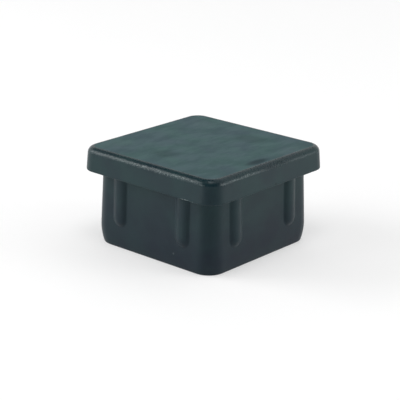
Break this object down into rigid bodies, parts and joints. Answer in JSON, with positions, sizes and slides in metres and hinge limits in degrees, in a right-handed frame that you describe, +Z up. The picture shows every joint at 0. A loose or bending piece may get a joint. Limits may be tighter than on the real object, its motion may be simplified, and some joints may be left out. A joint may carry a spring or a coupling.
{
  "type": "tube end cap",
  "caption": "Square plug that closes the end of a square tube: a flat head with rounded edges over a hollow, flared skirt with half-round crush ribs.",
  "frame": {"origin": "middle of the skirt's rim, on the plane that the loose plug stands on", "axes": "+Z up through the middle of the head, out of the tube; +X and +Y square to the walls"},
  "size_m": [0.04, 0.04, 0.0227],
  "materials": {
    "plug": "matte dark grey moulded plastic with a faint blue-green cast and a fine moulded grain"
  },
  "bodies": {
    "root": {"tube_plug": "plug"}
  },
  "joints": []
}
